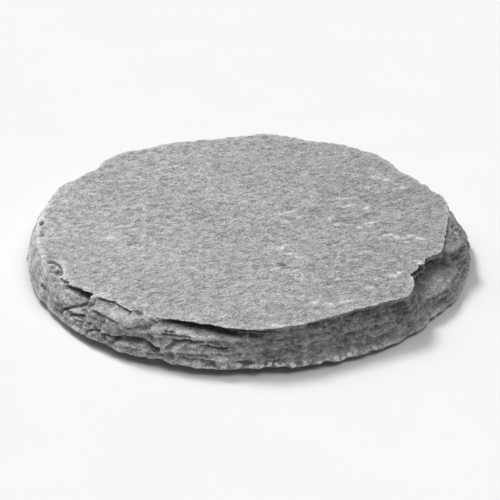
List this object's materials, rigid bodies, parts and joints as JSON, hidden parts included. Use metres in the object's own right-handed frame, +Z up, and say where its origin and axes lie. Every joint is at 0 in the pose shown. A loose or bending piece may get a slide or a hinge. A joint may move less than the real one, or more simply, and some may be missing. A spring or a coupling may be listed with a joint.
{
  "type": "round slate coaster",
  "caption": "Round split-slate disc with a flat cleft top and a rough hewn edge, raised off the table on foam feet.",
  "frame": {"origin": "on the surface that the feet stand on, below the middle of the disc", "axes": "+Z up, square to the cleft top face; -Y is the front, +X the right"},
  "size_m": [0.1008, 0.0997, 0.0085],
  "materials": {
    "slate": "matte",
    "foam": "matte",
    "adhesive": "satin"
  },
  "bodies": {
    "root": {"slate_disc": "slate", "front_left_foot": "foam", "front_right_foot": "foam", "rear_left_foot": "foam", "rear_right_foot": "foam", "front_left_adhesive": "adhesive", "front_right_adhesive": "adhesive", "rear_left_adhesive": "adhesive", "rear_right_adhesive": "adhesive"}
  },
  "joints": []
}
